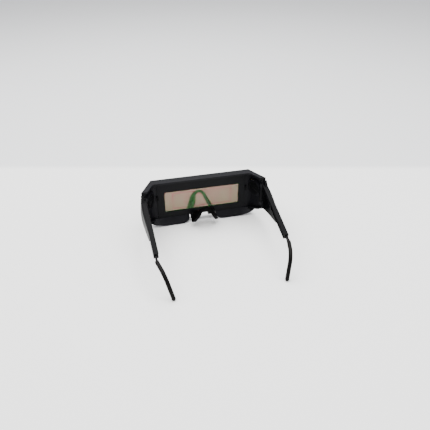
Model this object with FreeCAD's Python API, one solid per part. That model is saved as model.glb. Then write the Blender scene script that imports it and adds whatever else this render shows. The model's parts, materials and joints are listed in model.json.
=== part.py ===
import FreeCAD, Part
import math
import os
from FreeCAD import Vector

# Auto-darkening welding goggles: a chamfered housing with a filter cartridge,
# a soft nose piece and two folding temples whose ear arms slide in and out.
# Millimetres. X runs across the face, +Z is up and the front faces -Y.
# Depths are measured backwards from the housing's front face, and the goggles
# stand on the lips of the housing and the tips of the ear arms, at Z = 0.

# ---------------------------------------------------------------- overall
overall_depth = 150.0
housing_top = 59.6
front_half_width = 62.0
wing_half_width = 76.0
wing_depth = 26.5
wall = 2.4
front_wall = 3.0
top_wall_depth = 11.0
wing_flange = 6.5
edge_round = 0.8

# ---------------------------------------------------------------- lower wall and cheek lips
floor_top = 9.2
floor_depth = 9.4
lip_wall = 2.0
lip_inner_x = 16.5
lip_inner_round = 11.0
lip_flat_end_x = 42.0
lip_reach = 15.2
lip_end_reach = 2.0
lip_end_rise = 15.0
wing_rear_low = 14.5

# ---------------------------------------------------------------- window and filter cartridge
window_width = 94.0
window_height = 28.0
window_z = 31.0
cartridge_width = 112.0
cartridge_gap = 0.3
cartridge_rear = 9.0
case_wall = 1.5
case_front_wall = 1.1
case_rear_wall = 1.3
glass_thickness = 1.0
glass_gap = 0.05
glass_margin = 2.0
seal_thickness = 0.5
seal_width = 2.5
film_thickness = 0.25
clip_width = 6.0
clip_overlap = 1.6
clip_wall = 1.0
clip_z = 38.0
ledge_front = 7.2
ledge_rear = 8.4

# ---------------------------------------------------------------- front cover lens and bezel
lens_width = 102.0
lens_height = 42.0
lens_thickness = 1.0
lens_gap = 0.1
lens_ledge = 1.5
bezel_width = 113.0
bezel_height = 47.0
bezel_thickness = 1.2
bezel_peg = 1.0
bezel_peg_length = 1.4
bezel_corner = 4.0

# ---------------------------------------------------------------- electronics
solar_width = 74.0
solar_height = 6.0
solar_thickness = 0.8
strip_z = 50.4
sensor_x = 44.0
sensor_radius = 2.2
board_width = 100.0
board_height = 6.4
board_thickness = 0.8
chip_sizes = ((0.0, 9.0, 4.5), (20.0, 5.0, 3.2), (-22.0, 6.0, 3.2), (34.0, 3.0, 1.8), (-34.0, 3.0, 1.8))
chip_height = 0.6

# ---------------------------------------------------------------- coin cells in the wings
cell_radius = 8.0
cell_thickness = 2.0
cell_gap = 0.2
cell_along = 16.2
cell_z = 41.0
cell_boss_radius = 10.4
cell_cap_radius = 9.0
cell_cap_thickness = 1.2
contact_thickness = 0.3
contact_width = 4.0
contact_margin = 0.5
contact_gap = 0.1
coin_slot_width = 1.6
coin_slot_length = 12.0
coin_slot_depth = 0.6

# ---------------------------------------------------------------- hinges
hinge_x = 71.6
hinge_depth = 26.2
hinge_radius = 2.6
hinge_gap = 0.3
hinge_relief = 0.4
knuckle_low = 26.0
knuckle_high = 46.8
lug_height = 3.8
pin_radius = 1.2
pin_clearance = 0.05
pin_head_radius = 2.0
pin_head_height = 1.0
seam_gap = 0.4

# ---------------------------------------------------------------- temples
temple_outer_x = 77.0
temple_toe_in = 1.4
temple_top = 52.3
temple_slope = 12.4
temple_end = 111.0
rail_width = 5.8
rail_height = 6.6
shield_wall = 2.0
shield_bulge = 3.0
shield_top_inset = 0.2
shield_low_inset = 1.1
horn_top = 56.5
horn_width = 3.2
horn_length = 9.5
shield_low_front = 15.8
shield_low_rear = 25.5
shield_rear = 77.0
shield_rise_end = 84.0
shield_corner = 9.0

# ---------------------------------------------------------------- sliding ear arms
arm_width = 2.3
arm_height = 3.6
arm_gap = 0.15
arm_foot_height = 4.4
arm_foot_length = 4.0
arm_neck = 8.6
arm_travel_out = 12.0
arm_travel_in = 6.5
channel_start = 68.0
channel_mouth = 2.0
cover_recess = 1.2
cover_thickness = 1.0
channel_outer_wall = 1.0
cover_height = 5.4
notch_pitch = 4.0
notch_depth = 0.35
ear_core_radius = 1.2
ear_sleeve_gap = 0.15
ear_radius = 2.3
ear_corner_x = 70.6
ear_corner_depth = 138.0
ear_corner_z = 26.6
ear_corner_radius = 18.0
ear_neck_radius = 10.0
ear_tip_x = 64.5
ear_sleeve_lap = 1.4

# ---------------------------------------------------------------- nose piece and its bracket
nose_top = 29.2
nose_arch_radius = 10.5
nose_bridge_wall = 2.3
nose_wall = 4.2
nose_leg_angle = 25.0
nose_low = 7.0
nose_tip = 22.5
nose_tip_round = 2.5
nose_front = 15.4
nose_rear = 30.6
nose_bridge_depth = 4.0
nose_notch_half_width = 16.0
bracket_plate = 2.0
bracket_wall = 1.5
bracket_top = 13.6
bracket_low = 11.0
bracket_arch_half_width = 7.0
bracket_side_low = 4.0
bracket_side_width = 3.2
bracket_strip = 1.5
bracket_gap = 0.15
bracket_arm_width = 2.6
bracket_arm_height = 2.4
bracket_tongue = 1.4
bracket_tongue_height = 1.8
bracket_tongue_length = 4.0
bracket_tongue_gap = 0.05

# ---------------------------------------------------------------- worked out from the above
front_y = -overall_depth / 2
floor_low = floor_top - wall
ceiling = housing_top - wall
wing_slope = (wing_half_width - front_half_width) / wing_depth
case_low = floor_top + cartridge_gap
case_high = ceiling - cartridge_gap
case_front = front_wall + seal_thickness
glass_front = case_front + case_front_wall
glass_rear = cartridge_rear - case_rear_wall
slope = math.radians(temple_slope)
rail_front = wing_depth + seam_gap
rail_length = (temple_end - rail_front) / math.cos(slope)
arm_x = temple_outer_x - channel_outer_wall - arm_gap - arm_width / 2
arm_drop = rail_height / 2
arm_engaged = channel_mouth + arm_travel_out + arm_foot_length + arm_gap
X_AXIS = Vector(1, 0, 0)
Z_AXIS = Vector(0, 0, 1)


# ---------------------------------------------------------------- helpers
def at(x, depth, z):
    """A point given by its depth behind the front face."""
    return Vector(x, front_y + depth, z)


def block(x0, x1, depth0, depth1, z0, z1):
    """A box between two corners."""
    return Part.makeBox(x1 - x0, depth1 - depth0, z1 - z0, at(x0, depth0, z0))


def rounded_wire(points, radii, closed):
    """Straight runs joined by tangent arcs. A radius of 0 leaves the corner sharp."""
    count = len(points)
    entries, arcs = [], []
    for i, point in enumerate(points):
        radius = radii[i]
        inner = closed or 0 < i < count - 1
        if not inner or radius == 0:
            entries.append((point, point))
            arcs.append(None)
            continue
        back = (points[i - 1] - point).normalize()
        ahead = (points[(i + 1) % count] - point).normalize()
        half = back.getAngle(ahead) / 2
        reach = radius / math.tan(half)
        middle = (back + ahead).normalize()
        start = point + back * reach
        end = point + ahead * reach
        crown = point + middle * (radius / math.sin(half) - radius)
        entries.append((start, end))
        arcs.append(Part.Arc(start, crown, end).toShape())
    edges = []
    for i in range(count):
        if arcs[i]:
            edges.append(arcs[i])
        if i == count - 1 and not closed:
            break
        run_start = entries[i][1]
        run_end = entries[(i + 1) % count][0]
        if run_start.distanceToPoint(run_end) > 1e-6:
            edges.append(Part.LineSegment(run_start, run_end).toShape())
    return Part.Wire(edges)


def outline(points, radii=None):
    """A flat face with rounded corners."""
    return Part.Face(rounded_wire(points, radii or [0] * len(points), True))


def plan_prism(points, z0, z1, radii=None):
    """An outline in plan (x, depth), raised from z0 to z1."""
    face = outline([at(x, depth, z0) for x, depth in points], radii)
    return face.extrude(Vector(0, 0, z1 - z0))


def side_prism(points, x0, x1, radii=None):
    """An outline seen from the side (depth, z), drawn out from x0 to x1."""
    face = outline([at(x0, depth, z) for depth, z in points], radii)
    return face.extrude(Vector(x1 - x0, 0, 0))


def front_prism(points, depth0, depth1, radii=None):
    """An outline seen from the front (x, z), drawn back from depth0 to depth1."""
    face = outline([at(x, depth0, z) for x, z in points], radii)
    return face.extrude(Vector(0, depth1 - depth0, 0))


def panel(width, height, z, depth0, depth1, corner=0.0):
    """A flat rectangular plate centred on x = 0, with rounded corners."""
    points = [(-width / 2, z - height / 2), (width / 2, z - height / 2),
              (width / 2, z + height / 2), (-width / 2, z + height / 2)]
    return front_prism(points, depth0, depth1, [corner] * 4)


def upright(radius, x, depth, z0, z1):
    """A vertical cylinder."""
    return Part.makeCylinder(radius, z1 - z0, at(x, depth, z0), Z_AXIS)


def mirrored(shape):
    """The same shape on the other side of the nose."""
    return shape.mirror(Vector(0, 0, 0), X_AXIS)


def both_sides(shape):
    """The shape together with its mirror image."""
    return [shape, mirrored(shape)]


def fused(shapes):
    """One solid made from overlapping shapes."""
    joined = shapes[0].multiFuse(shapes[1:]) if len(shapes) > 1 else shapes[0]
    return joined.removeSplitter()


def softened(shape, radius, wanted):
    """The shape with the wanted edges rounded. wanted tests an edge's middle and ends."""
    edges = [edge for edge in shape.Edges if wanted(edge)]
    return shape.makeFillet(radius, edges)


def save(name, shapes):
    """One STEP file for each node."""
    shape = shapes if isinstance(shapes, Part.Shape) else Part.makeCompound(shapes)
    shape.exportStep("parts/%s.step" % name)
    print(name, len(shape.Solids), "solid", "valid" if shape.isValid() else "NOT VALID",
          round(shape.Volume, 1), "mm3")


# ---------------------------------------------------------------- housing
def wing_x(depth, inset=0.0):
    """Where the wing's outer face, moved inwards by inset, stands at a depth."""
    return front_half_width + depth * wing_slope - inset * math.hypot(1, wing_slope)


def housing_outline(rear, inset=0.0):
    """Plan of the housing from its front face back to a depth."""
    edge = wing_x(rear, inset)
    return [(-edge, rear), (-wing_x(0, inset), 0), (wing_x(0, inset), 0), (edge, rear)]


def top_wall():
    inner = wing_x(wing_depth, wing_flange)
    corner = wing_x(top_wall_depth, wing_flange)
    points = housing_outline(wing_depth) + [(inner, wing_depth), (corner, top_wall_depth),
                                            (-corner, top_wall_depth), (-inner, wing_depth)]
    return plan_prism(points, ceiling, housing_top, [0, 0, 0, 0, 0, 4, 4, 0])


def wing_low_edge(lift):
    """Lower edge of a wing seen from the side, from the front to the hinge."""
    return [(0, floor_low + lift), (floor_depth, floor_low + lift), (wing_depth, wing_rear_low + lift)]


def wing_wall():
    strip = [(wing_x(0), 0), (wing_x(wing_depth), wing_depth), (wing_x(wing_depth, wall), wing_depth),
             (wing_x(0, wall), 0)]
    wall_solid = plan_prism(strip, floor_low, housing_top)
    below = wing_low_edge(0) + [(wing_depth + 1, wing_rear_low), (wing_depth + 1, 0), (-1, 0), (-1, floor_low)]
    cut = side_prism(below, 0, wing_half_width + 1, [0, 20, 0, 0, 0, 0, 0])
    return wall_solid.cut(cut)


def wing_lower_flange():
    """A turned-in edge that rises from the cheek lip to the hinge."""
    band = wing_low_edge(0) + list(reversed(wing_low_edge(lip_wall)))
    bend = 20.0
    solid = side_prism(band, 0, wing_half_width + 1, [0, bend, 0, 0, bend - lip_wall, 0])
    strip = [(wing_x(floor_depth), floor_depth), (wing_x(wing_depth), wing_depth),
             (wing_x(wing_depth, wing_flange), wing_depth), (wing_x(floor_depth, wing_flange), floor_depth)]
    return solid.common(plan_prism(strip, 0, housing_top))


def rim_height(x):
    """Height of the cheek lip's rim above the table."""
    if x < lip_inner_x + lip_inner_round:
        t = (lip_inner_x + lip_inner_round - x) / lip_inner_round
        return (floor_low - 1) * (1 - math.sqrt(1 - t * t))
    if x < lip_flat_end_x:
        return 0.0
    t = (x - lip_flat_end_x) / (wing_half_width - lip_flat_end_x)
    return lip_end_rise * t ** 2.4


def rim_depth(x):
    """Depth of the cheek lip's rim behind the front face."""
    if x < lip_inner_x + lip_inner_round:
        t = (lip_inner_x + lip_inner_round - x) / lip_inner_round
        return floor_depth + (lip_reach - floor_depth) * math.sqrt(1 - t * t)
    t = max(0.0, (x - lip_flat_end_x) / (wing_half_width - lip_flat_end_x))
    return lip_reach + lip_end_reach * t


def lip_section(x):
    """Cross-section of the cheek lip at a distance from the nose."""
    depth, height = rim_depth(x), rim_height(x)
    points = [at(x, floor_depth - lip_wall, floor_low), at(x, floor_depth, floor_top),
              at(x, depth, height + lip_wall * 0.6), at(x, depth - lip_wall * 0.7, height)]
    return rounded_wire(points, [0] * 4, True)


def cheek_lip():
    start = lip_inner_x + 0.4
    near = [start + (lip_inner_round - 0.4) * t for t in (0.0, 0.12, 0.35, 0.65, 1.0)]
    far_end = wing_x(lip_reach + 4)
    far = [near[-1] + (far_end - near[-1]) * t for t in (0.25, 0.5, 0.7, 0.85, 1.0)]
    loft = Part.makeLoft([lip_section(x) for x in near + far], True, False)
    return loft.common(plan_prism(housing_outline(wing_depth), 0, housing_top))


def hinge_lugs():
    """Upper and lower lugs that hold the hinge pin, joined to the wing."""
    plan = [(hinge_x, hinge_depth - hinge_radius),
            (wing_x(hinge_depth - hinge_radius, wall / 2), hinge_depth - hinge_radius),
            (wing_x(wing_depth, wall / 2), wing_depth), (hinge_x, wing_depth)]
    lugs = []
    for z0 in (knuckle_low - lug_height, knuckle_high):
        web = plan_prism(plan, z0, z0 + lug_height)
        lugs += [web, upright(hinge_radius, hinge_x, hinge_depth, z0, z0 + lug_height)]
    return lugs


def across_wing(radius, inset0, inset1, along=cell_along, z=cell_z):
    """A cylinder that stands square to the wing, between two insets from its outer face."""
    turn = math.atan(wing_slope)
    inward = Vector(-math.cos(turn), math.sin(turn), 0)
    foot = at(front_half_width + along * math.sin(turn), along * math.cos(turn), z)
    return Part.makeCylinder(radius, inset1 - inset0, foot + inward * inset0, inward)


def wing_block(along0, along1, inset0, inset1, z0, z1):
    """A block lined up with the wing."""
    turn = math.degrees(math.atan(wing_slope))
    solid = Part.makeBox(inset1 - inset0, along1 - along0, z1 - z0, Vector(-inset1, along0, z0))
    solid.rotate(Vector(0, 0, 0), Z_AXIS, -turn)
    solid.translate(at(front_half_width, 0, 0))
    return solid


contact_top = cell_radius - contact_margin
contact_z = cell_z + contact_top - contact_width / 2
contact_end = cell_along + math.sqrt(cell_radius ** 2 - contact_top ** 2)
boss_top = wall + contact_thickness + cell_thickness + 2 * cell_gap + cell_cap_thickness * 0.7


def bay_ledge():
    """The wall beside the cartridge, from its bay to the wing, with a window for the clip."""
    inner = cartridge_width / 2 + cartridge_gap
    outer_front, outer_rear = wing_x(ledge_front, wall / 2), wing_x(ledge_rear, wall / 2)
    plate = plan_prism([(inner, ledge_front), (outer_front, ledge_front), (outer_rear, ledge_rear),
                        (inner, ledge_rear)], floor_top - wall / 2, housing_top - wall / 2)
    window = block(inner - 1, inner + clip_wall + cartridge_gap, ledge_front - 1, ledge_rear + 1,
                   clip_z - clip_width / 2 - cartridge_gap, clip_z + clip_width / 2 + cartridge_gap)
    return plate.cut(window)


def front_housing():
    front = block(-front_half_width, front_half_width, 0, front_wall, floor_low, housing_top)
    floor = plan_prism(housing_outline(floor_depth), floor_low, floor_top)
    solids = [front, floor, top_wall()]
    for side in both_sides(fused([wing_wall(), wing_lower_flange(), cheek_lip(), bay_ledge()] + hinge_lugs()
                                 + [across_wing(cell_boss_radius, wall / 2, boss_top)])):
        solids.append(side)
    shell = fused(solids)
    shell = softened(shell, edge_round, lambda edge: outer_top_edge(edge) or outer_corner_edge(edge))
    bezel_seat = panel(bezel_width + 2 * lens_gap, bezel_height + 2 * lens_gap, bezel_z, -1,
                       bezel_thickness, bezel_corner)
    lens_seat = panel(lens_width + 2 * lens_gap, lens_height + 2 * lens_gap, bezel_z, -1, lens_rear)
    view = panel(lens_width - 2 * lens_ledge, lens_height - 2 * lens_ledge, bezel_z, -1, front_wall + 1, 2.0)
    notch = plan_prism([(-nose_notch_half_width, front_wall), (nose_notch_half_width, front_wall),
                        (nose_notch_half_width + 1.2, floor_depth + 1),
                        (-nose_notch_half_width - 1.2, floor_depth + 1)], floor_low - 1, floor_top + 0.1,
                       [0, 0, 0, 0])
    cuts = [bezel_seat, lens_seat, view, notch] + bezel_pegs(lens_gap)
    for cut in (across_wing(cell_radius + cell_gap, wall, boss_top + 1),
                across_wing(cell_cap_radius + lens_gap, boss_top - cell_cap_thickness * 0.7, boss_top + 1),
                wing_block(0, cell_along, wall, wall + contact_thickness + contact_gap,
                           contact_z - contact_width / 2 - contact_gap, contact_z + contact_width / 2 + contact_gap),
                upright(pin_radius, hinge_x, hinge_depth, 0, housing_top - wall - 1),
                upright(hinge_radius + hinge_relief, hinge_x, hinge_depth, knuckle_low, knuckle_high),
                upright(pin_head_radius + pin_clearance, hinge_x, hinge_depth,
                        knuckle_high + lug_height - pin_head_height, ceiling)):
        cuts += both_sides(cut)
    for cut in cuts:
        shell = shell.cut(cut)
    return shell


def outer_top_edge(edge):
    """Edges round the top of the housing, at its front and along its wings."""
    for vertex in edge.Vertexes:
        depth = vertex.Point.y - front_y
        if abs(vertex.Point.z - housing_top) > 0.01 or abs(abs(vertex.Point.x) - wing_x(depth)) > 0.01:
            return False
    return len(edge.Vertexes) == 2


def outer_corner_edge(edge):
    """The two upright corners where the front face meets the wings."""
    box = edge.BoundBox
    upright_edge = box.ZLength > 20 and box.XLength < 0.01 and box.YLength < 0.01
    return upright_edge and abs(abs(box.XMin) - front_half_width) < 0.01 and abs(box.YMin - front_y) < 0.01


bezel_z = (floor_low + housing_top) / 2
lens_rear = bezel_thickness + lens_gap / 2 + lens_thickness


def bezel_pegs(clearance):
    pegs = []
    peg_x = (bezel_width + lens_width) / 4
    for x in (-peg_x, peg_x):
        for z in (bezel_z - lens_height / 2, bezel_z + lens_height / 2):
            pegs.append(Part.makeCylinder(bezel_peg + clearance, bezel_peg_length + bezel_thickness / 2 + clearance,
                                          at(x, bezel_thickness / 2, z), Vector(0, 1, 0)))
    return pegs


def lens_bezel():
    ring = panel(bezel_width, bezel_height, bezel_z, 0, bezel_thickness, bezel_corner)
    view = panel(lens_width - 2 * lens_ledge, lens_height - 2 * lens_ledge, bezel_z, -1, bezel_thickness + 1, 2.0)
    return fused([ring.cut(view)] + bezel_pegs(0))


def cover_lens():
    return panel(lens_width, lens_height, bezel_z, bezel_thickness + lens_gap / 2, lens_rear, 1.0)


# ---------------------------------------------------------------- filter cartridge
case_height = case_high - case_low
case_z = (case_high + case_low) / 2
glass_width = window_width + 2 * glass_margin
glass_height = window_height + 2 * glass_margin


def cartridge_front_case():
    tray = panel(cartridge_width, case_height, case_z, case_front, glass_rear, 2.0)
    hollow = panel(cartridge_width - 2 * case_wall, case_height - 2 * case_wall, case_z, glass_front,
                   glass_rear + 1, 1.0)
    view = panel(window_width, window_height, window_z, case_front - 1, glass_rear, 1.0)
    solar = panel(solar_width - 1, solar_height - 1, strip_z, case_front - 1, glass_rear, 0.5)
    sensors = [Part.makeCylinder(sensor_radius + cartridge_gap / 3, glass_rear, at(side * sensor_x, 0, strip_z),
                                 Vector(0, 1, 0)) for side in (-1, 1)]
    return tray.cut(Part.makeCompound([hollow, view, solar] + sensors))


def cartridge_rear_case():
    plate = panel(cartridge_width, case_height, case_z, glass_rear, cartridge_rear, 2.0)
    view = panel(window_width, window_height, window_z, glass_rear - 1, cartridge_rear + 1, 1.0)
    return plate.cut(view)


def glass_layer(index):
    """One plate of the filter stack, counted from the front."""
    depth = glass_front + index * (glass_thickness + glass_gap)
    return panel(glass_width, glass_height, window_z, depth, depth + glass_thickness)


def inner_film():
    return panel(window_width - 0.4, window_height - 0.4, window_z, glass_rear, glass_rear + film_thickness, 1.0)


def light_seal():
    outer = panel(cartridge_width - 2, case_height - 2, case_z, front_wall, case_front, 2.0)
    inner = panel(cartridge_width - 2 - 2 * seal_width, case_height - 2 - 2 * seal_width, case_z, front_wall - 1,
                  case_front + 1, 2.0)
    return outer.cut(inner)


def solar_strip():
    return panel(solar_width, solar_height, strip_z, glass_front, glass_front + solar_thickness)


def board_front():
    return glass_rear - board_thickness - 0.1


def circuit_board():
    return panel(board_width, board_height, strip_z, board_front(), glass_rear - 0.1, 0.5)


def board_components():
    chips = []
    for x, width, height in chip_sizes:
        chips.append(block(x - width / 2, x + width / 2, board_front() - chip_height, board_front(),
                           strip_z - height / 2, strip_z + height / 2))
    return chips


def arc_sensors():
    sensors = []
    for side in (-1, 1):
        centre = at(side * sensor_x, case_front + 0.2, strip_z)
        lens = Part.makeCylinder(sensor_radius, board_front() - case_front - 0.2, centre, Vector(0, 1, 0))
        sensors.append(lens)
    return sensors


def cartridge_clip():
    """A hooked clip that stands on the front wall and holds the cartridge's side."""
    inner = cartridge_width / 2 + cartridge_gap
    z0, z1 = clip_z - clip_width / 2, clip_z + clip_width / 2
    hook_depth = cartridge_rear + cartridge_gap
    leg = block(inner, inner + clip_wall, front_wall, hook_depth + clip_wall, z0, z1)
    hook = side_hook(inner, hook_depth, z0, z1)
    foot = block(inner, inner + clip_wall * 2.5, front_wall, front_wall + clip_wall, z0, z1)
    return fused([leg, hook, foot])


def side_hook(inner, hook_depth, z0, z1):
    points = [(inner + clip_wall, hook_depth), (inner - clip_overlap, hook_depth),
              (inner, hook_depth + clip_wall * 1.6), (inner + clip_wall, hook_depth + clip_wall * 1.6)]
    return plan_prism(points, z0, z1)


# ---------------------------------------------------------------- coin cells
def coin_cell():
    inset = wall + contact_thickness + cell_gap
    return across_wing(cell_radius, inset, inset + cell_thickness)


def cell_cap():
    inset = boss_top - cell_cap_thickness * 0.7
    disc = across_wing(cell_cap_radius, inset, inset + cell_cap_thickness)
    slot = wing_block(cell_along - coin_slot_length / 2, cell_along + coin_slot_length / 2,
                      inset + cell_cap_thickness - coin_slot_depth, inset + cell_cap_thickness + 1,
                      cell_z - coin_slot_width / 2, cell_z + coin_slot_width / 2)
    return disc.cut(slot)


def cell_contact():
    """A springy strip from under the coin cell to the side of the cartridge."""
    z0, z1 = contact_z - contact_width / 2, contact_z + contact_width / 2
    start = 4.0
    flat = wing_block(start, contact_end, wall + glass_gap, wall + contact_thickness, z0, z1)
    turn = math.atan(wing_slope)
    inward = wall + contact_thickness / 2
    bend_x = front_half_width + start * math.sin(turn) - inward * math.cos(turn)
    bend_depth = start * math.cos(turn) + inward * math.sin(turn)
    side = cartridge_width / 2 + glass_gap
    half = contact_thickness / 2
    arm = plan_prism([(bend_x + half / 3, bend_depth - half), (bend_x + half / 3, bend_depth + half),
                      (side, case_front + 3 + half), (side, case_front + 3 - half)], z0, z1)
    return fused([flat, arm])


# ---------------------------------------------------------------- hinge pins
def hinge_pin():
    head_low = knuckle_high + lug_height - pin_head_height
    shank = upright(pin_radius, hinge_x, hinge_depth, knuckle_low - lug_height, head_low)
    head = upright(pin_head_radius, hinge_x, hinge_depth, head_low, head_low + pin_head_height)
    slot = block(hinge_x - pin_head_radius, hinge_x + pin_head_radius, hinge_depth - 0.25, hinge_depth + 0.25,
                 head_low + pin_head_height / 2, head_low + pin_head_height + 1)
    return fused([shank, head]).cut(slot)


# ---------------------------------------------------------------- temples
def toed_in(shape):
    """Turn a temple piece about the hinge so that its rear end comes inwards."""
    turned = shape.copy()
    turned.rotate(at(hinge_x, hinge_depth, 0), Z_AXIS, temple_toe_in)
    return turned


def on_rail(shape):
    """Tilt a piece drawn level behind the hinge onto the temple's slope."""
    tilted = shape.copy()
    tilted.rotate(at(0, rail_front, temple_top), X_AXIS, -temple_slope)
    return tilted


def rail_point(x, run, drop):
    """A point on the sloping rail: a run behind its front end and a drop below its top."""
    return at(x, rail_front + run * math.cos(slope) - drop * math.sin(slope),
              temple_top - run * math.sin(slope) - drop * math.cos(slope))


def rail_block(x0, x1, run0, run1, drop0, drop1):
    """A block on the rail, between two runs and two drops below its top."""
    return on_rail(block(x0, x1, rail_front + run0, rail_front + run1, temple_top - drop1, temple_top - drop0))


rail_inner_x = temple_outer_x - rail_width
cover_outer_x = rail_inner_x + cover_recess + cover_thickness
channel_run = (channel_start - rail_front) / math.cos(slope)


def shield_section(depth, bulge):
    """A bowed strip, seen from behind, that hangs from the rail."""
    high, low = temple_top + 1, shield_low_front - 1
    top_x = temple_outer_x - shield_top_inset
    low_x = temple_outer_x - shield_low_inset
    crown_x = (top_x + low_x) / 2 + bulge
    middle_z = (high + low) / 2
    outer = Part.Arc(at(top_x, depth, high), at(crown_x, depth, middle_z), at(low_x, depth, low)).toShape()
    inner = Part.Arc(at(low_x - shield_wall, depth, low), at(crown_x - shield_wall, depth, middle_z),
                     at(top_x - shield_wall, depth, high)).toShape()
    bottom = Part.LineSegment(outer.Vertexes[1].Point, inner.Vertexes[0].Point).toShape()
    top = Part.LineSegment(inner.Vertexes[1].Point, outer.Vertexes[0].Point).toShape()
    return Part.Wire([outer, bottom, inner, top])


def horn():
    """The raised front corner of a temple, level with the end of the wing."""
    low = temple_top - rail_height
    profile = [(rail_front, low), (rail_front, horn_top), (rail_front + 2, horn_top - 0.5),
               (rail_front + horn_length, temple_top - horn_length * math.tan(slope) - edge_round), ]
    return side_prism(profile, temple_outer_x - horn_width, temple_outer_x - shield_top_inset, [0, 1, 2, 0])


def side_shield():
    sections = ((rail_front, 0.55), (rail_front + 8, 1.0), (rail_front + 20, 0.9), (rail_front + 38, 0.4),
                (shield_rise_end + 2, 0.1))
    strip = Part.makeLoft([shield_section(depth, shield_bulge * share) for depth, share in sections], True, False)
    top_front = temple_top - 1
    rail_under_rear = temple_top - (shield_rise_end - rail_front) * math.tan(slope) - rail_height / 2
    profile = [(rail_front, shield_low_front), (shield_rear, shield_low_rear), (shield_rise_end, rail_under_rear),
               (rail_front, top_front)]
    return strip.common(side_prism(profile, temple_outer_x - 10, temple_outer_x + 10, [0, shield_corner, 0, 0]))


def temple_blade():
    rail = rail_block(rail_inner_x, temple_outer_x, 0, rail_length, 0, rail_height)
    rail = softened(rail, edge_round, lambda edge: edge.Length > rail_length - 1)
    rail = rail.cut(block(0, wing_half_width + 20, 0, rail_front, 0, housing_top))
    knuckle = upright(hinge_radius, hinge_x, hinge_depth, knuckle_low + hinge_gap, knuckle_high - hinge_gap)
    web = block(hinge_x, temple_outer_x - 0.8, rail_front, hinge_depth + hinge_radius,
                knuckle_low + hinge_gap, knuckle_high - hinge_gap)
    blade = fused([rail, side_shield(), horn(), knuckle, web])
    arm_outer = arm_x + arm_width / 2 + arm_gap
    foot_drop = (rail_height - arm_foot_height) / 2 - arm_gap
    channel = rail_block(cover_outer_x - 0.01, arm_outer, channel_run, rail_length - channel_mouth,
                         foot_drop, rail_height - foot_drop)
    mouth_drop = (rail_height - arm_height) / 2 - arm_gap
    mouth = rail_block(cover_outer_x - 0.01, arm_outer, rail_length - channel_mouth - 1, rail_length + 1,
                       mouth_drop, rail_height - mouth_drop)
    cover_drop = (rail_height - cover_height) / 2
    cover_seat = rail_block(rail_inner_x - 1, cover_outer_x, channel_run - 2, rail_length + 1,
                            cover_drop, rail_height - cover_drop)
    reliefs = []
    for z0, z1 in ((0, knuckle_low + hinge_gap), (knuckle_high - hinge_gap, housing_top)):
        reliefs.append(upright(hinge_radius + hinge_relief, hinge_x, hinge_depth, z0, z1))
    bore = upright(pin_radius + pin_clearance, hinge_x, hinge_depth, 0, housing_top)
    return toed_in(blade.cut(Part.makeCompound([channel, mouth, cover_seat, bore] + reliefs)))


def channel_cover():
    drop = (rail_height - cover_height) / 2 + glass_gap
    plate = rail_block(cover_outer_x - cover_thickness, cover_outer_x - glass_gap, channel_run - 2 + glass_gap,
                       rail_length, drop, rail_height - drop)
    return toed_in(plate)


# ---------------------------------------------------------------- ear arms
arm_end_run = rail_length + arm_neck
ear_tip = at(ear_tip_x, overall_depth - ear_radius, ear_radius)


def ear_path(start_run):
    """The line that the ear end follows: along the rail, inwards, then down to the table."""
    return [rail_point(arm_x, start_run, arm_drop), rail_point(arm_x, arm_end_run, arm_drop),
            at(ear_corner_x, ear_corner_depth, ear_corner_z), ear_tip]


def round_bar(points, radii, radius):
    """A round bar along straight runs joined by tangent arcs."""
    pieces = []
    for edge in rounded_wire(points, radii, False).Edges:
        start, end = edge.valueAt(edge.FirstParameter), edge.valueAt(edge.LastParameter)
        if edge.Curve.TypeId == "Part::GeomLine":
            pieces.append(Part.makeCylinder(radius, edge.Length, start, end - start))
            continue
        ring = Part.Face(Part.Wire(Part.makeCircle(radius, start, edge.tangentAt(edge.FirstParameter))))
        sweep = math.degrees(edge.Length / edge.Curve.Radius)
        spin = (start - edge.Curve.Center).cross(edge.tangentAt(edge.FirstParameter))
        pieces.append(ring.revolve(edge.Curve.Center, spin, sweep))
    return fused(pieces)


def ear_arm():
    drop = (rail_height - arm_height) / 2
    x0, x1 = arm_x - arm_width / 2, arm_x + arm_width / 2
    start_run = rail_length - arm_engaged
    bar = rail_block(x0, x1, start_run, arm_end_run - ear_sleeve_lap - ear_sleeve_gap, drop, rail_height - drop)
    foot_drop = (rail_height - arm_foot_height) / 2
    foot = rail_block(x0, x1, start_run, start_run + arm_foot_length, foot_drop, rail_height - foot_drop)
    core = round_bar(ear_path(arm_end_run - 2 * ear_sleeve_lap), [0, ear_neck_radius, ear_corner_radius, 0], ear_core_radius)
    notches = []
    for i in range(int((arm_travel_out + arm_travel_in) / notch_pitch) + 1):
        run = start_run + arm_foot_length + 3 + i * notch_pitch
        notches.append(rail_block(x1 - notch_depth, x1 + 1, run, run + notch_depth * 2, 0, rail_height))
    return toed_in(fused([bar, foot, core]).cut(Part.makeCompound(notches)))


def ear_sleeve():
    path = ear_path(arm_end_run - ear_sleeve_lap)
    radii = [0, ear_neck_radius, ear_corner_radius, 0]
    skin = fused([round_bar(path, radii, ear_radius), Part.makeSphere(ear_radius, ear_tip)])
    core = round_bar(path, radii, ear_core_radius + ear_sleeve_gap)
    core_end = Part.makeSphere(ear_core_radius + ear_sleeve_gap, ear_tip)
    return toed_in(skin.cut(fused([core, core_end])))


# ---------------------------------------------------------------- nose piece
leg_angle = math.radians(nose_leg_angle)
arch_centre = nose_top - nose_arch_radius
inner_arch_radius = ((nose_arch_radius - nose_wall - (nose_arch_radius - nose_bridge_wall) * math.sin(leg_angle))
                     / (1 - math.sin(leg_angle)))


def nose_leg_x(z):
    """Middle line of a nose leg, seen from the front."""
    outer = nose_arch_radius / math.cos(leg_angle) + (arch_centre - z) * math.tan(leg_angle)
    return outer - nose_wall / 2 / math.cos(leg_angle)


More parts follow.
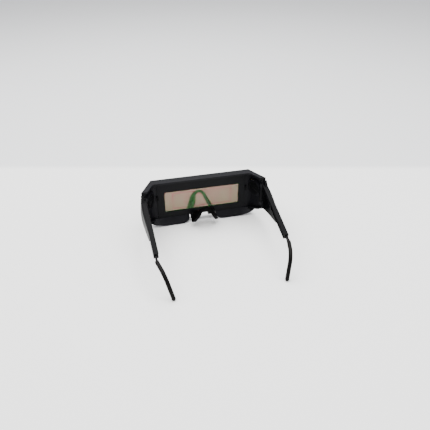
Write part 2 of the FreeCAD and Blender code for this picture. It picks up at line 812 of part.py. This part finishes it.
def nose_arch_face(depth):
    """Front view of the arch: two sloping legs under a round bridge that is thinner than they are."""
    half = nose_wall / 2 / math.cos(leg_angle)
    foot = nose_leg_x(0)
    peak = arch_centre + nose_arch_radius / math.sin(leg_angle)
    inner_peak = nose_top - nose_bridge_wall - inner_arch_radius + inner_arch_radius / math.sin(leg_angle)
    points = [(foot + half, 0), (0, peak), (-foot - half, 0), (-foot + half, 0), (0, inner_peak), (foot - half, 0)]
    return outline([at(x, depth, z) for x, z in points],
                   [0, nose_arch_radius, 0, 0, inner_arch_radius, 0])


def nose_piece():
    arch = nose_arch_face(nose_front - 1).extrude(Vector(0, nose_rear - nose_front + 2, 0))
    bridge_front = nose_rear - nose_bridge_depth
    leaf = [(bridge_front, nose_top + 1), (nose_rear, nose_top + 1), (nose_rear, nose_low + 10),
            (nose_tip + nose_tip_round, nose_low), (nose_tip - nose_tip_round, nose_low),
            (nose_front, nose_low + 6), (nose_front, nose_low + 12), (bridge_front, nose_top - 4)]
    side = side_prism(leaf, -30, 30, [0, 0, 8, nose_tip_round, nose_tip_round, 3, 4, 5])
    piece = arch.common(side)
    sockets = both_sides(bracket_tongue_block(bracket_tongue_gap))
    return piece.cut(Part.makeCompound(sockets))


bracket_z = (floor_low + floor_top) / 2
bracket_arm_z = (bracket_low + bracket_top) / 2
bracket_arm_x = nose_leg_x(bracket_arm_z)


def bracket_tongue_block(clearance):
    """The end of a bracket arm, pressed into the soft pad."""
    half = bracket_tongue / 2 + clearance
    rise = bracket_tongue_height / 2 + clearance
    return block(bracket_arm_x - half, bracket_arm_x + half, nose_front - 1, nose_front + bracket_tongue_length,
                 bracket_arm_z - rise, bracket_arm_z + rise)


def nose_bracket():
    half = nose_notch_half_width - bracket_gap
    front = floor_depth + bracket_gap
    rear = front + bracket_wall
    foot_low, foot_high = bracket_z - bracket_plate / 2, bracket_z + bracket_plate / 2
    foot_front = front_wall + bracket_gap
    foot = block(-half, half, foot_front, rear, foot_low, foot_high)
    upright_plate = block(-half, half, front, rear, foot_low, bracket_top)
    pieces = [foot, upright_plate]
    for side in both_sides(block(half - bracket_side_width, half, front, rear, bracket_side_low, foot_low + 1)):
        pieces.append(side)
    for side in both_sides(fused([
            block(bracket_arm_x - bracket_arm_width / 2, bracket_arm_x + bracket_arm_width / 2, front,
                  nose_front - bracket_gap, bracket_arm_z - bracket_arm_height / 2,
                  bracket_arm_z + bracket_arm_height / 2),
            bracket_tongue_block(0)])):
        pieces.append(side)
    nose_room = block(-bracket_arch_half_width, bracket_arch_half_width, foot_front + bracket_strip, rear + 1,
                      foot_low - 1, bracket_low)
    return fused(pieces).cut(nose_room)


# ---------------------------------------------------------------- all nodes
def main():
    os.makedirs("parts", exist_ok=True)
    save("front_housing", front_housing())
    save("lens_bezel", lens_bezel())
    save("cover_lens", cover_lens())
    save("light_seal", light_seal())
    save("cartridge_front_case", cartridge_front_case())
    save("cartridge_rear_case", cartridge_rear_case())
    save("liquid_crystal_cell_front", glass_layer(0))
    save("liquid_crystal_cell_rear", glass_layer(1))
    save("interference_filter_glass", glass_layer(2))
    save("inner_film", inner_film())
    save("solar_cell_strip", solar_strip())
    save("circuit_board", circuit_board())
    save("board_components", board_components())
    save("arc_sensors", arc_sensors())
    save("nose_bracket", nose_bracket())
    save("nose_piece", nose_piece())
    pairs = {"cartridge_clip": cartridge_clip(), "coin_cell": coin_cell(), "cell_cap": cell_cap(),
             "cell_contact": cell_contact(), "hinge_pin": hinge_pin(), "temple_blade": temple_blade(),
             "channel_cover": channel_cover(), "ear_arm": ear_arm(), "ear_sleeve": ear_sleeve()}
    for name, shape in pairs.items():
        save(name + "_left", shape)
        save(name + "_right", mirrored(shape))


main()
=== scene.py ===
# %% [markdown]
# # Auto-darkening welding goggles
#
# The goggles are a black moulded housing with a filter cartridge in it, a soft nose piece, and two temples
# whose ear arms slide in and out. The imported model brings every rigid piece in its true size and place.
# This lesson gives each of those pieces the finish of its real material, and models again the pieces whose
# softness or small detail a plain solid doesn't show: the nose piece, the protective film, the rubber ear
# ends and the coin-slotted cell caps.

# %% Load the frame
import bpy
import json
import math
from mathutils import Matrix, Vector

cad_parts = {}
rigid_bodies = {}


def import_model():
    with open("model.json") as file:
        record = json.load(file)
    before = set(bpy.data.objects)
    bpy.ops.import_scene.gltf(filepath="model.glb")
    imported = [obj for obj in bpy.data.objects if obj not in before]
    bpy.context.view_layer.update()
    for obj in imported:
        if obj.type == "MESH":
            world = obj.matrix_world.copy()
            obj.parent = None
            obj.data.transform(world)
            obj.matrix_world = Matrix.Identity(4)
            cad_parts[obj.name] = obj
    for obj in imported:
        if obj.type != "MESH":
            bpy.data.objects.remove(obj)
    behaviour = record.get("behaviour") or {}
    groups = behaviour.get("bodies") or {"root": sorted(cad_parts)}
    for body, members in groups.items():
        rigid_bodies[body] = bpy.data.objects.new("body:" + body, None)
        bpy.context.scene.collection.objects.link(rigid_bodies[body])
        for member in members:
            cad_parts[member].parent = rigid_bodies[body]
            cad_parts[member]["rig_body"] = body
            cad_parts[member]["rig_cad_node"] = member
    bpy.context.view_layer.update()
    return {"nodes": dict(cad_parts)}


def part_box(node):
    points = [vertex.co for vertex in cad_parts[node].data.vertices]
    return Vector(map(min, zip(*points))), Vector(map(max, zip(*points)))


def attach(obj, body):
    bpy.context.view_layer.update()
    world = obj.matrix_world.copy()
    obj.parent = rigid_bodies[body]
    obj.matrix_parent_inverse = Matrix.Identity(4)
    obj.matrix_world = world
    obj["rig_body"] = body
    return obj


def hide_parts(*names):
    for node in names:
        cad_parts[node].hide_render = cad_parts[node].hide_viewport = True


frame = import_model()
nodes = frame["nodes"]

# %% [markdown]
# Sizes are easier to read in millimetres, and colours as the hex values of a colour picker. Blender works
# in metres and in linear light, so two short functions turn one into the other. Two more keep the scene
# tidy: one empties the selection, because edit operators act on all that is selected, and one finds a
# node's middle.

# %% Helpers
MM = 0.001


def linear(hex_colour):
    """An sRGB hex colour as linear red, green, blue and alpha."""
    channels = [int(hex_colour[i:i + 2], 16) / 255 for i in (1, 3, 5)]
    return [c / 12.92 if c <= 0.04045 else ((c + 0.055) / 1.055) ** 2.4 for c in channels] + [1.0]


def deselect():
    for item in bpy.context.selected_objects:
        item.select_set(False)


def activate(piece):
    deselect()
    piece.select_set(True)
    bpy.context.view_layer.objects.active = piece


def middle(node):
    low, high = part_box(node)
    return (low + high) / 2


print("matt black #141417 is", [round(c, 4) for c in linear("#141417")])

# %% [markdown]
# ## Materials
#
# A shader is a small graph. One function adds a node, sets its options and links its inputs, so each
# material below reads as a list of what its surface does. The base is always the Principled shader, whose
# gloss, colour and bump carry over when the model is exported. Patterns use Object coordinates, because
# each piece's place is in its mesh and the pattern then keeps its real size in metres.

# %% One function for nodes


def add(tree, kind, links=None, **settings):
    """Adds a node. links fills its inputs by name or number, with a value or another node's output."""
    node = tree.nodes.new("ShaderNode" + kind)
    for key, value in settings.items():
        setattr(node, key, value)
    for key, value in (links or {}).items():
        if isinstance(value, bpy.types.NodeSocket):
            tree.links.new(value, node.inputs[key])
        else:
            node.inputs[key].default_value = value
    return node


def new_material(name):
    """An empty material with its Principled shader and its Object coordinates."""
    material = bpy.data.materials.new(name)
    material.use_nodes = True
    tree = material.node_tree
    place = add(tree, "TexCoord").outputs["Object"]
    return material, tree, tree.nodes["Principled BSDF"], place


finishes = {}
print("ready for materials")

# %% [markdown]
# Most of the goggles are ABS and nylon, injection moulded in black. The mould's surface sets the finish:
# spark erosion leaves a fine even grain that scatters light, and polishing leaves a gloss. Each entry gives
# the colour of the plastic, the colour of its handled and dusty patches, the roughness, the grain size in
# millimetres, how deep the grain is, and how much of its gloss the fine grain leaves, where 0.5 is a smooth
# surface. Real grain of 0.1 mm is too fine to show at arm's length, so it is drawn at 0.3 to 0.6 mm.

# %% Moulded plastics
PLASTICS = {
    "spark-eroded black ABS": ("#0b0b0e", "#121216", 0.46, 0.50, 0.14, 0.09, ["front_housing"]),
    "satin black ABS temples": ("#040405", "#08080a", 0.40, 0.60, 0.05, 0.05, ["temple_blade"]),
    "fine-grained black nylon cartridge": ("#08090a", "#0e0e11", 0.42, 0.40, 0.08, 0.07,
                                           ["cartridge_front_case", "cartridge_rear_case"]),
    "polished black ABS bezel": ("#070708", "#0c0c0e", 0.16, 0.60, 0.03, 0.45, ["lens_bezel"]),
    "glass-filled black nylon": ("#060607", "#0c0c0d", 0.40, 0.45, 0.08, 0.05,
                                 ["nose_bracket", "cartridge_clip", "channel_cover", "ear_arm"]),
    "black epoxy moulding resin": ("#101011", "#1a1a1c", 0.45, 0.30, 0.08, 0.50, ["board_components"]),
}

for name, (colour, worn, roughness, grain, depth, shine, used_on) in PLASTICS.items():
    material, tree, shader, place = new_material(name)
    patches = add(tree, "TexNoise", {"Vector": place, "Scale": 45.0, "Detail": 5.0, "Roughness": 0.65})
    spread = add(tree, "MapRange", {"Value": patches.outputs["Fac"], "From Min": 0.42, "From Max": 0.72})
    tint = add(tree, "Mix", {"Factor": spread.outputs["Result"], "A": linear(colour), "B": linear(worn)},
               data_type="RGBA")
    gloss = add(tree, "MapRange", {"Value": patches.outputs["Fac"], "From Min": 0.3, "From Max": 0.7,
                                   "To Min": roughness - 0.05, "To Max": roughness + 0.07})
    pits = add(tree, "TexNoise", {"Vector": place, "Scale": 1 / (grain * MM), "Detail": 3.0,
                                  "Roughness": 0.6})
    bump = add(tree, "Bump", {"Height": pits.outputs["Fac"], "Strength": depth, "Distance": grain * MM})
    tree.links.new(tint.outputs["Result"], shader.inputs["Base Color"])
    tree.links.new(gloss.outputs["Result"], shader.inputs["Roughness"])
    tree.links.new(bump.outputs["Normal"], shader.inputs["Normal"])
    shader.inputs["IOR"].default_value = 1.54
    shader.inputs["Specular IOR Level"].default_value = shine
    for node in used_on:
        finishes[node] = material
print(len(PLASTICS), "moulded plastics")

# %% [markdown]
# The filter is the part that everyone looks at. Its glass carries a stack of thin interference layers that
# send back part of the light, a little pink of white, and let only green through. A plain dielectric with a
# very high index looks the same: at 2.4 it mirrors a sixth of the light straight on, its specular tint gives
# the pink, and the base colour under it is the deep green of the glass. So the black nose piece shows green
# in the mirror, as it does on the real thing, with nothing painted. The protective print is a thin line
# frame and three rows of short dashes, where the light is a touch pinker.

# %% Interference filter
WINDOW_LOW, WINDOW_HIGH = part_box("inner_film")
window_middle = (WINDOW_LOW + WINDOW_HIGH) / 2
half_width = (WINDOW_HIGH.x - WINDOW_LOW.x) / 2
half_height = (WINDOW_HIGH.z - WINDOW_LOW.z) / 2
LINE = 0.6 * MM
SOFT_EDGE = 0.05 * MM


def band(tree, value, centre, half):
    """1 where value lies within half of centre, with a soft edge."""
    off = add(tree, "Math", {0: value, 1: centre}, operation="SUBTRACT")
    size = add(tree, "Math", {0: off.outputs[0]}, operation="ABSOLUTE")
    edge = add(tree, "MapRange", {"Value": size.outputs[0],
                                  "From Min": half - SOFT_EDGE, "From Max": half + SOFT_EDGE,
                                  "To Min": 1.0, "To Max": 0.0})
    return edge.outputs["Result"]


material, tree, shader, place = new_material("interference-coated green filter glass")
axes = add(tree, "SeparateXYZ", {"Vector": place})
across, height = axes.outputs["X"], axes.outputs["Z"]
frame_x = half_width * 0.79
frame_z = half_height * 0.76
inside_x = band(tree, across, 0.0, frame_x + LINE)
inside_z = band(tree, height, window_middle.z, frame_z + LINE)
core_x = band(tree, across, 0.0, frame_x - LINE)
core_z = band(tree, height, window_middle.z, frame_z - LINE)
outer = add(tree, "Math", {0: inside_x, 1: inside_z}, operation="MULTIPLY")
core = add(tree, "Math", {0: core_x, 1: core_z}, operation="MULTIPLY")
line_frame = add(tree, "Math", {0: outer.outputs[0], 1: core.outputs[0]}, operation="SUBTRACT")
dashes = add(tree, "TexNoise", {"Vector": add(tree, "Mapping", {"Vector": place, "Scale": (420.0, 1.0, 60.0)}
                                              ).outputs["Vector"], "Scale": 1.0, "Detail": 0.0})
dashes = add(tree, "MapRange", {"Value": dashes.outputs["Fac"], "From Min": 0.47, "From Max": 0.50})
rows = [band(tree, height, window_middle.z + offset * MM, half * MM)
        for offset, half in ((6.0, 0.8), (2.6, 0.6), (-3.0, 0.8))]
row_sum = add(tree, "Math", {0: rows[0], 1: rows[1]}, operation="MAXIMUM")
row_sum = add(tree, "Math", {0: row_sum.outputs[0], 1: rows[2]}, operation="MAXIMUM")
row_span = band(tree, across, 0.0, half_width * 0.5)
dash_rows = add(tree, "Math", {0: row_sum.outputs[0], 1: dashes.outputs["Result"]}, operation="MULTIPLY")
dash_rows = add(tree, "Math", {0: dash_rows.outputs[0], 1: row_span}, operation="MULTIPLY")
printed = add(tree, "Math", {0: line_frame.outputs[0], 1: dash_rows.outputs[0]}, operation="MAXIMUM")
faint = add(tree, "Math", {0: printed.outputs[0], 1: 1.0}, operation="MULTIPLY")
clouding = add(tree, "TexNoise", {"Vector": place, "Scale": 22.0, "Detail": 2.0})
coat = add(tree, "Mix", {"Factor": clouding.outputs["Fac"], "A": linear("#ffb9bb"), "B": linear("#ffc6ba")},
           data_type="RGBA")
coat = add(tree, "Mix", {"Factor": faint.outputs[0], "A": coat.outputs["Result"], "B": linear("#ff2f84")},
           data_type="RGBA")
smear = add(tree, "MapRange", {"Value": clouding.outputs["Fac"], "To Min": 0.015, "To Max": 0.05})
tree.links.new(coat.outputs["Result"], shader.inputs["Specular Tint"])
tree.links.new(smear.outputs["Result"], shader.inputs["Roughness"])
shader.inputs["Base Color"].default_value = linear("#034a07")
shader.inputs["IOR"].default_value = 2.4
finishes["interference_filter_glass"] = material
print("print frame", round(2 * frame_x / MM, 1), "by", round(2 * frame_z / MM, 1), "mm")

# %% [markdown]
# The clear parts let light straight through and shine a little. Thin sheets that hardly bend light are best
# made with low alpha: only a trace of their colour and gloss is drawn, and shadows behind them stay soft.

# %% Clear sheets and filter glass
CLEAR = {
    "clear polyester film": ("#f6f4f2", 0.02, 0.10, 1.55, ["inner_film"]),
    "clear polycarbonate lens": ("#eef2f2", 0.02, 0.04, 1.585, ["cover_lens"]),
    "green absorbing filter glass": ("#0d2b14", 0.85, 0.05, 1.52,
                                     ["liquid_crystal_cell_front", "liquid_crystal_cell_rear"]),
}
for name, (colour, alpha, roughness, ior, used_on) in CLEAR.items():
    material, tree, shader, place = new_material(name)
    wiped = add(tree, "TexNoise", {"Vector": place, "Scale": 60.0, "Detail": 4.0, "Distortion": 1.5})
    gloss = add(tree, "MapRange", {"Value": wiped.outputs["Fac"], "From Min": 0.35, "From Max": 0.75,
                                   "To Min": roughness, "To Max": roughness + 0.06})
    tree.links.new(gloss.outputs["Result"], shader.inputs["Roughness"])
    shader.inputs["Base Color"].default_value = linear(colour)
    shader.inputs["Alpha"].default_value = alpha
    shader.inputs["IOR"].default_value = ior
    for node in used_on:
        finishes[node] = material
print(len(CLEAR), "clear materials")

# %% [markdown]
# Soft parts are moulded rubber: the nose piece in matt silicone, the ear ends in thermoplastic rubber, and
# the light seal in closed-cell foam. Rubber is rougher than plastic, picks up skin oil in patches, and
# gives back less light than a hard gloss does. The foam shows its cells.

# %% Rubbers and foam
SOFT = {
    "matt black silicone": ("#020202", "#060606", 0.60, 0.9, 0.25, 0.03, ["nose_piece"]),
    "soft black thermoplastic rubber": ("#040303", "#0c0a09", 0.38, 0.5, 0.08, 0.08, ["ear_sleeve"]),
    "closed-cell black foam": ("#161616", "#242424", 0.85, 0.5, 0.5, 0.5, ["light_seal"]),
}
for name, (colour, rubbed, roughness, grain, depth, shine, used_on) in SOFT.items():
    material, tree, shader, place = new_material(name)
    oil = add(tree, "TexNoise", {"Vector": place, "Scale": 90.0, "Detail": 3.0})
    spread = add(tree, "MapRange", {"Value": oil.outputs["Fac"], "From Min": 0.4, "From Max": 0.75})
    tint = add(tree, "Mix", {"Factor": spread.outputs["Result"], "A": linear(colour), "B": linear(rubbed)},
               data_type="RGBA")
    gloss = add(tree, "MapRange", {"Value": oil.outputs["Fac"],
                                   "To Min": roughness + 0.12, "To Max": roughness - 0.08})
    pebble = add(tree, "TexVoronoi", {"Vector": place, "Scale": 1 / (grain * MM)}, feature="SMOOTH_F1")
    bump = add(tree, "Bump", {"Height": pebble.outputs["Distance"], "Strength": depth,
                              "Distance": grain * MM * 0.5})
    tree.links.new(tint.outputs["Result"], shader.inputs["Base Color"])
    tree.links.new(gloss.outputs["Result"], shader.inputs["Roughness"])
    tree.links.new(bump.outputs["Normal"], shader.inputs["Normal"])
    shader.inputs["IOR"].default_value = 1.5
    shader.inputs["Specular IOR Level"].default_value = shine
    for node in used_on:
        finishes[node] = material
print(len(SOFT), "soft materials")

# %% [markdown]
# Metals: the hinge pins are turned steel with fine rings round their axis, the coin cells are stamped
# stainless steel with a drawn grain, and the contacts are spring brass. Brushing stretches a noise along
# one direction and turns it into fine ridges.

# %% Metals
METALS = {
    "turned steel": ("#a9a9ab", 0.28, (60.0, 60.0, 9000.0), ["hinge_pin"]),
    "stamped stainless steel": ("#c4c3c0", 0.24, (400.0, 400.0, 4000.0), ["coin_cell"]),
    "spring brass": ("#c9a558", 0.30, (3000.0, 300.0, 300.0), ["cell_contact"]),
}
for name, (colour, roughness, stretch, used_on) in METALS.items():
    material, tree, shader, place = new_material(name)
    along = add(tree, "Mapping", {"Vector": place, "Scale": stretch})
    ridges = add(tree, "TexNoise", {"Vector": along.outputs["Vector"], "Scale": 1.0, "Detail": 2.0})
    gloss = add(tree, "MapRange", {"Value": ridges.outputs["Fac"],
                                   "To Min": roughness - 0.08, "To Max": roughness + 0.12})
    bump = add(tree, "Bump", {"Height": ridges.outputs["Fac"], "Strength": 0.15, "Distance": 0.05 * MM})
    tree.links.new(gloss.outputs["Result"], shader.inputs["Roughness"])
    tree.links.new(bump.outputs["Normal"], shader.inputs["Normal"])
    shader.inputs["Base Color"].default_value = linear(colour)
    shader.inputs["Metallic"].default_value = 1.0
    for node in used_on:
        finishes[node] = material
print(len(METALS), "metals")

# %% [markdown]
# The electronics show only through the front lens and in an exploded view. The solar strip is amorphous
# silicon, blue-black with fine pale lines between its cells. The board has green solder resist over faint
# copper tracks, and the two arc sensors sit under dark red resin that passes infrared.

# %% Electronics
material, tree, shader, place = new_material("amorphous silicon solar strip")
gaps = add(tree, "TexWave", {"Vector": place, "Scale": 1 / (7.4 * MM) / 3.2, "Distortion": 0.0},
           wave_type="BANDS", bands_direction="X")
lines = add(tree, "MapRange", {"Value": gaps.outputs["Fac"], "From Min": 0.985, "From Max": 1.0})
cells = add(tree, "Mix", {"Factor": lines.outputs["Result"], "A": linear("#141627"), "B": linear("#5d606c")},
            data_type="RGBA")
tree.links.new(cells.outputs["Result"], shader.inputs["Base Color"])
shader.inputs["Roughness"].default_value = 0.12
finishes["solar_cell_strip"] = material

material, tree, shader, place = new_material("green solder-resist laminate")
upright = add(tree, "Mapping", {"Vector": place, "Rotation": (math.pi / 2, 0, 0)}).outputs["Vector"]
tracks = add(tree, "TexBrick", {"Vector": upright, "Color1": linear("#0f5a33"), "Color2": linear("#115f38"),
                                "Mortar": linear("#1d7a49"), "Scale": 300.0, "Mortar Size": 0.06,
                                "Brick Width": 0.9, "Row Height": 0.35})
tree.links.new(tracks.outputs["Color"], shader.inputs["Base Color"])
shader.inputs["Roughness"].default_value = 0.3
finishes["circuit_board"] = material

material, tree, shader, place = new_material("infrared-passing red resin")
depths = add(tree, "TexNoise", {"Vector": place, "Scale": 500.0})
red = add(tree, "Mix", {"Factor": depths.outputs["Fac"], "A": linear("#2a0508"), "B": linear("#3c0a10")},
          data_type="RGBA")
tree.links.new(red.outputs["Result"], shader.inputs["Base Color"])
shader.inputs["Roughness"].default_value = 0.08
shader.inputs["Coat Weight"].default_value = 0.5
finishes["arc_sensors"] = material
print(len(finishes), "finishes in all")

# %% [markdown]
# ## Dress the CAD pieces
#
# A CAD piece whose shape is right stays as it is and takes its new finish. Left and right twins share one,
# found by dropping the side from the node's name.

# %% Give each node its finish
for name, node in nodes.items():
    kind = name.removesuffix("_left").removesuffix("_right")
    if kind in finishes:
        node.data.materials.clear()
        node.data.materials.append(finishes[kind])
print("still waiting:", sorted(name for name in nodes if name.removesuffix("_left").removesuffix("_right")
                               not in finishes))

# %% [markdown]
# ## The nose piece
#
# The nose piece is one soft moulding: a slim bridge over two leaf-shaped pads. The plain solid has the
# right outline but hard corners, and silicone comes out of its mould with every corner rounded. Rounding by
# hand would mean many bevels that meet badly at the arch. A voxel remesh turns the whole form into one even
# skin, and smoothing that skin rounds every corner alike, as a mould does.

# %% Mould the nose piece
SKIN = 0.42 * MM


def plain_copy(node, name):
    """A merged copy of a plain solid, as its own piece."""
    activate(nodes[node])
    bpy.ops.object.duplicate()
    piece = bpy.context.view_layer.objects.active
    piece.name = name
    piece.parent = None
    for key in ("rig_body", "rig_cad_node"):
        if key in piece:
            del piece[key]
    bpy.ops.object.mode_set(mode="EDIT")
    bpy.ops.mesh.select_all(action="SELECT")
    bpy.ops.mesh.remove_doubles(threshold=0.01 * MM)
    bpy.ops.object.mode_set(mode="OBJECT")
    return piece


def soft_copy(node, name, skin, rounds):
    """A plain copy with an even skin and rounded corners."""
    piece = plain_copy(node, name)
    remesh = piece.modifiers.new("even skin", "REMESH")
    remesh.mode = "VOXEL"
    remesh.voxel_size = skin
    smooth = piece.modifiers.new("rounded corners", "SMOOTH")
    smooth.factor = 0.5
    smooth.iterations = rounds
    for step in list(piece.modifiers):
        bpy.ops.object.modifier_apply(modifier=step.name)
    bpy.ops.object.shade_smooth()
    return piece


nose = soft_copy("nose_piece", "soft_nose_piece", SKIN, 4)
nose.data.materials.clear()
nose.data.materials.append(finishes["nose_piece"])
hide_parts("nose_piece")
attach(nose, "housing")
print("nose piece:", len(nose.data.polygons), "faces")

# %% [markdown]
# ## The protective film
#
# The film lies on the filter glass. Two surfaces in one plane flicker, because a ray can't tell which it
# meets first, so the film is modelled again a little thinner, flush with its outer face.

# %% Lay the film
FILM_SHARE = 0.6
film = plain_copy("inner_film", "peelable_protective_film")
outer_face = Vector((0, WINDOW_HIGH.y, 0))
film.data.transform(Matrix.Translation(outer_face) @ Matrix.Diagonal((1, FILM_SHARE, 1, 1)) @
                    Matrix.Translation(-outer_face))
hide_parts("inner_film")
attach(film, "housing")
print("film thickness", round(film.dimensions.y / MM, 3), "mm")

# %% [markdown]
# ## The rubber ear ends
#
# Each ear end is a rubber sleeve pulled over the arm's core, and its skin shows no edge anywhere. It is
# made as the nose piece was, and every corner that the mould would round is rounded.

# %% Mould the ear sleeves
for side, name in ((1, "left"), (-1, "right")):
    sleeve = soft_copy("ear_sleeve_" + name, "rubber_ear_sleeve_" + name, 0.35 * MM, 2)
    sleeve.data.materials.clear()
    sleeve.data.materials.append(finishes["ear_sleeve"])
    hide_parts("ear_sleeve_" + name)
    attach(sleeve, "ear_end_" + name)
    print(sleeve.name, len(sleeve.data.polygons), "faces")

# %% [markdown]
# ## Coin cell caps
#
# Each wing has a round cap over its coin cell, turned with a coin. The cap is a short cylinder whose top is
# inset and sunk to a dish, with a ribbed edge for the fingertips: every third side face is pushed in. The
# slot is cut with a box as a boolean, the one cut that has to cross the dish and its rim.

# %% Model a cap
cap_low, cap_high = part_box("cell_cap_left")
cap_node = nodes["cell_cap_left"]
cap_normal = sum((p.normal * p.area for p in cap_node.data.polygons if p.normal.x < -0.5 and p.area > 0),
                 Vector()).normalized()
cap_radius = (cap_high.z - cap_low.z) / 2
reach = [v.co.dot(cap_normal) for v in cap_node.data.vertices]
cap_thickness = max(reach) - min(reach)
print("cap radius", round(cap_radius / MM, 2), "thickness", round(cap_thickness / MM, 2), "faces", cap_normal)


CAP_SIDES = 96
CAP_RIM = 1.3 * MM
DISH_DEPTH = 0.3 * MM
RIB_DEPTH = 0.25 * MM
COIN_SLOT = (13 * MM, 1.7 * MM, 1.2 * MM)  # its length, width and cutter depth


def faces_where(piece, test):
    """Selects the faces that pass a test of their middle and normal."""
    bpy.ops.object.mode_set(mode="OBJECT")
    for vertex in piece.data.vertices:
        vertex.select = False
    for edge in piece.data.edges:
        edge.select = False
    for face in piece.data.polygons:
        face.select = test(face.center, face.normal)
    bpy.ops.object.mode_set(mode="EDIT")
    bpy.ops.mesh.select_mode(type="FACE")


def coin_cap(name):
    """A ribbed, dished cap with a coin slot, flat on its back at the origin."""
    deselect()
    bpy.ops.mesh.primitive_cylinder_add(vertices=CAP_SIDES, radius=cap_radius, depth=cap_thickness)
    cap = bpy.context.active_object
    cap.name = name
    faces_where(cap, lambda centre, normal: abs(normal.z) < 0.5 and
                int((math.atan2(centre.y, centre.x) + math.pi) / math.tau * CAP_SIDES) % 3 == 0)
    bpy.ops.mesh.inset(thickness=0.05 * MM, depth=-RIB_DEPTH, use_individual=True)
    faces_where(cap, lambda centre, normal: normal.z > 0.9)
    bpy.ops.mesh.inset(thickness=CAP_RIM)
    bpy.ops.mesh.inset(thickness=0.35 * MM, depth=-DISH_DEPTH)
    bpy.ops.mesh.inset(thickness=1.6 * MM)
    bpy.ops.object.mode_set(mode="OBJECT")
    deselect()
    bpy.ops.mesh.primitive_cube_add(size=1, location=(0, 0, cap_thickness / 2), scale=COIN_SLOT)
    cutter = bpy.context.active_object
    activate(cap)
    slot = cap.modifiers.new("coin slot", "BOOLEAN")
    slot.operation = "DIFFERENCE"
    slot.object = cutter
    bpy.ops.object.modifier_apply(modifier=slot.name)
    bpy.data.objects.remove(cutter)
    soften = cap.modifiers.new("moulded edges", "BEVEL")
    soften.width = 0.12 * MM
    soften.segments = 2
    soften.limit_method = "ANGLE"
    bpy.ops.object.modifier_apply(modifier=soften.name)
    bpy.ops.object.shade_smooth_by_angle(angle=math.radians(35))
    return cap


# %% Seat the two caps
for side, name in ((1, "left"), (-1, "right")):
    cap = coin_cap("coin_slot_cap_" + name)
    facing = Vector((cap_normal.x * side, cap_normal.y, 0))
    across = Vector((0, 0, 1))
    turn = Matrix((across.cross(facing), across, facing)).transposed().to_4x4()
    centre = middle("cell_cap_" + name)
    tilt = Matrix.Rotation(math.radians(18 * side), 4, "Z")
    cap.data.transform(Matrix.Translation(centre) @ turn @ tilt)
    cap.data.materials.append(finishes["cartridge_clip"])
    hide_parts("cell_cap_" + name)
    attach(cap, "housing")
    print(cap.name, "at", [round(v / MM, 1) for v in centre])

# %% [markdown]
# ## Floor, light and camera
#
# A pale matt floor and a bright even sky make a plain studio. One large soft lamp above, a little to the
# front, gives the tops of the black parts their grey, and a weaker one from the side draws a soft shadow.

# %% Floor
deselect()
bpy.ops.mesh.primitive_plane_add(size=6.0, location=(0, 0, 0))
floor = bpy.context.active_object
floor.name = "studio_floor"
material, tree, shader, place = new_material("pale matt floor")
AWAY = (0.2425, 0.970, 0.0)  # level, from the goggles towards the camera
FLOOR_LINE = -0.205  # metres along that way, where the floor turns greyer
SOFTNESS = 0.007
far = add(tree, "VectorMath", {0: place, 1: AWAY}, operation="DOT_PRODUCT")
fade = add(tree, "MapRange", {"Value": far.outputs["Value"], "From Min": FLOOR_LINE - SOFTNESS,
                               "From Max": FLOOR_LINE + SOFTNESS})
pale = add(tree, "Mix", {"Factor": fade.outputs["Result"], "A": linear("#e2e3e3"), "B": linear("#f8f8f6")},
           data_type="RGBA")
tree.links.new(pale.outputs["Result"], shader.inputs["Base Color"])
shader.inputs["Roughness"].default_value = 0.7
floor.data.materials.append(material)
print("floor", tuple(floor.dimensions))

# %% Light
world = bpy.data.worlds.new("studio")
bpy.context.scene.world = world
world.use_nodes = True
world.node_tree.nodes["Background"].inputs["Color"].default_value = linear("#fbfbff")
world.node_tree.nodes["Background"].inputs["Strength"].default_value = 1.0


def soft_lamp(name, place, aim, size, power, colour="#ffffff"):
    lamp = bpy.data.lights.new(name, "AREA")
    lamp.shape = "SQUARE"
    lamp.size = size
    lamp.energy = power
    lamp.color = linear(colour)[:3]
    holder = bpy.data.objects.new(name, lamp)
    bpy.context.scene.collection.objects.link(holder)
    holder.location = place
    holder.rotation_euler = (Vector(aim) - Vector(place)).to_track_quat("-Z", "Y").to_euler()
    return holder


soft_lamp("overhead softbox", (0.1, -0.2, 1.1), (0, 0, 0.03), 1.6, 42)
soft_lamp("side softbox", (-0.9, 0.5, 0.8), (0, 0, 0.03), 0.7, 5)

# %% Camera
camera_data = bpy.data.cameras.new("camera")
camera = bpy.data.objects.new("camera", camera_data)
bpy.context.scene.collection.objects.link(camera)
camera.location = (0.1049, 0.4196, 0.3352)
camera.rotation_euler = Vector((-0.2020, -0.8082, -0.5533)).to_track_quat("-Z", "Y").to_euler()
camera_data.sensor_width = 36.0
camera_data.lens = 38.93
camera_data.clip_start = 0.01
bpy.context.scene.camera = camera
print("camera looks", tuple(round(v, 3) for v in camera.rotation_euler))
